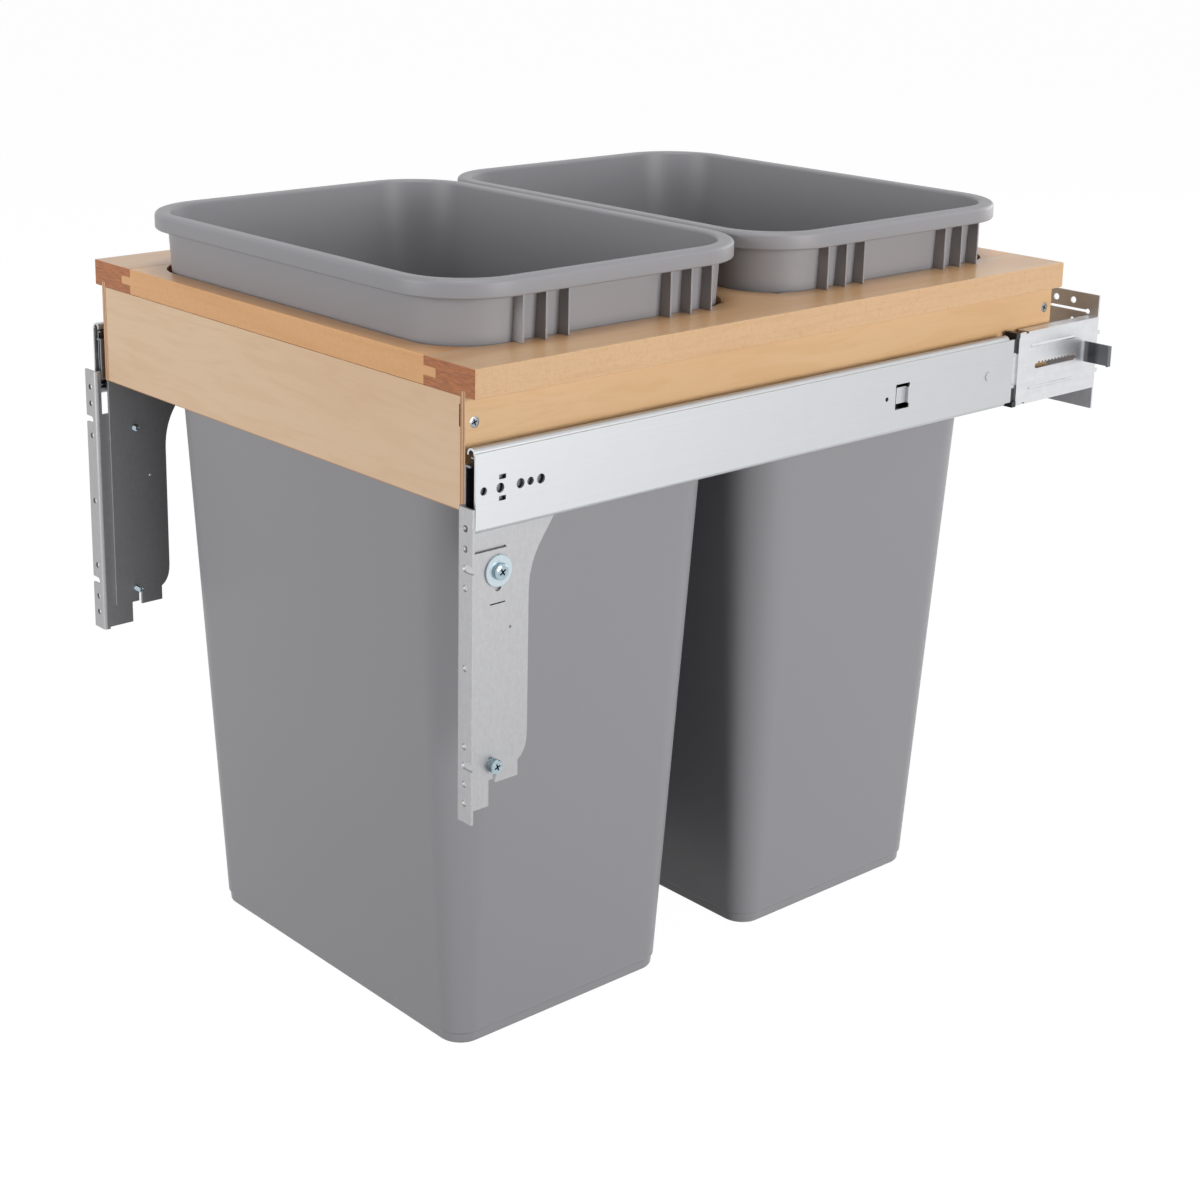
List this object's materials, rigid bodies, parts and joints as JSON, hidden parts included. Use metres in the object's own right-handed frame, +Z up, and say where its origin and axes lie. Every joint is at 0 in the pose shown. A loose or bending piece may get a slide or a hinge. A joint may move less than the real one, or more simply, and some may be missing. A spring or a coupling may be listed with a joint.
{
  "type": "pull out trash cabinet",
  "caption": "Pull-out waste unit: tall lift-out bins hang in a wooden frame on full-extension slides, with rear wall brackets and brackets for the cabinet door.",
  "frame": {"origin": "on the rear wall plane, at the middle of the four rear wall screws", "axes": "+X to the right seen from the front, +Y to the rear wall, +Z up"},
  "size_m": [0.508, 0.6342, 0.55],
  "materials": {
    "maple": "clear satin lacquer",
    "birch_ply": "clear satin lacquer",
    "zinc_screw": "bright zinc",
    "zinc_slide": "pale zinc",
    "bearing_steel": "polished",
    "black_plastic": "moulded",
    "white_plastic": "moulded",
    "galvanised": "galvanised sheet",
    "grey_plastic": "satin moulded"
  },
  "bodies": {
    "cabinet": {"left_cabinet_member": "zinc_slide", "right_cabinet_member": "zinc_slide", "left_rear_bracket": "galvanised", "right_rear_bracket": "galvanised", "rear_bracket_rivets": "zinc_slide", "left_soft_close_housing": "black_plastic", "right_soft_close_housing": "black_plastic", "left_soft_close_damper": "bearing_steel", "right_soft_close_damper": "bearing_steel", "left_soft_close_spring": "bearing_steel", "right_soft_close_spring": "bearing_steel", "left_end_cap": "black_plastic", "right_end_cap": "black_plastic"},
    "drawer": {"left_stile": "maple", "right_stile": "maple", "front_rail": "maple", "centre_rail": "maple", "rear_rail": "maple", "apron_left": "birch_ply", "apron_right": "birch_ply", "apron_front": "birch_ply", "apron_rear": "birch_ply", "apron_screws": "zinc_screw", "left_drawer_member": "zinc_slide", "right_drawer_member": "zinc_slide", "slide_screws": "zinc_screw", "left_door_arm": "galvanised", "right_door_arm": "galvanised", "door_bracket_washers": "zinc_screw", "door_bracket_upper_screws": "zinc_screw", "door_bracket_lower_screws": "zinc_screw"},
    "bin_front": {"front_bin": "grey_plastic"},
    "bin_rear": {"rear_bin": "grey_plastic"},
    "left_intermediate": {"left_intermediate_member": "zinc_slide"},
    "left_outer_ball_cage": {"left_outer_cage": "zinc_slide", "left_outer_balls": "bearing_steel"},
    "left_inner_ball_cage": {"left_inner_cage": "zinc_slide", "left_inner_balls": "bearing_steel"},
    "left_catch": {"left_soft_close_catch": "white_plastic"},
    "left_angle": {"left_door_angle": "galvanised"},
    "right_intermediate": {"right_intermediate_member": "zinc_slide"},
    "right_outer_ball_cage": {"right_outer_cage": "zinc_slide", "right_outer_balls": "bearing_steel"},
    "right_inner_ball_cage": {"right_inner_cage": "zinc_slide", "right_inner_balls": "bearing_steel"},
    "right_catch": {"right_soft_close_catch": "white_plastic"},
    "right_angle": {"right_door_angle": "galvanised"}
  },
  "joints": [
    {"name": "drawer_slide", "type": "slide", "parent": "cabinet", "child": "drawer", "axis": [0, -1, 0], "range_m": [0, 0.51]},
    {"name": "left_intermediate_slide", "type": "slide", "parent": "cabinet", "child": "left_intermediate", "axis": [0, -1, 0], "range_m": [0, 0.255]},
    {"name": "left_outer_ball_cage_slide", "type": "slide", "parent": "cabinet", "child": "left_outer_ball_cage", "axis": [0, -1, 0], "range_m": [0, 0.1275]},
    {"name": "left_inner_ball_cage_slide", "type": "slide", "parent": "cabinet", "child": "left_inner_ball_cage", "axis": [0, -1, 0], "range_m": [0, 0.3825]},
    {"name": "left_catch_slide", "type": "slide", "parent": "cabinet", "child": "left_catch", "axis": [0, -1, 0], "range_m": [0, 0.022]},
    {"name": "left_angle_adjust", "type": "slide", "parent": "drawer", "child": "left_angle", "axis": [0, 0, 1], "range_m": [-0.008, 0.008]},
    {"name": "right_intermediate_slide", "type": "slide", "parent": "cabinet", "child": "right_intermediate", "axis": [0, -1, 0], "range_m": [0, 0.255]},
    {"name": "right_outer_ball_cage_slide", "type": "slide", "parent": "cabinet", "child": "right_outer_ball_cage", "axis": [0, -1, 0], "range_m": [0, 0.1275]},
    {"name": "right_inner_ball_cage_slide", "type": "slide", "parent": "cabinet", "child": "right_inner_ball_cage", "axis": [0, -1, 0], "range_m": [0, 0.3825]},
    {"name": "right_catch_slide", "type": "slide", "parent": "cabinet", "child": "right_catch", "axis": [0, -1, 0], "range_m": [0, 0.022]},
    {"name": "right_angle_adjust", "type": "slide", "parent": "drawer", "child": "right_angle", "axis": [0, 0, 1], "range_m": [-0.008, 0.008]},
    {"name": "front_bin_lift", "type": "slide", "parent": "drawer", "child": "bin_front", "axis": [0, 0, 1], "range_m": [0, 0.56]},
    {"name": "rear_bin_lift", "type": "slide", "parent": "drawer", "child": "bin_rear", "axis": [0, 0, 1], "range_m": [0, 0.56]}
  ],
  "couplings": [
    {"joint": "left_intermediate_slide", "follows": "drawer_slide", "ratio": 0.5},
    {"joint": "left_outer_ball_cage_slide", "follows": "drawer_slide", "ratio": 0.25},
    {"joint": "left_inner_ball_cage_slide", "follows": "drawer_slide", "ratio": 0.75},
    {"joint": "left_catch_slide", "follows": "drawer_slide", "ratio": 0.0431},
    {"joint": "right_intermediate_slide", "follows": "drawer_slide", "ratio": 0.5},
    {"joint": "right_outer_ball_cage_slide", "follows": "drawer_slide", "ratio": 0.25},
    {"joint": "right_inner_ball_cage_slide", "follows": "drawer_slide", "ratio": 0.75},
    {"joint": "right_catch_slide", "follows": "drawer_slide", "ratio": 0.0431}
  ]
}
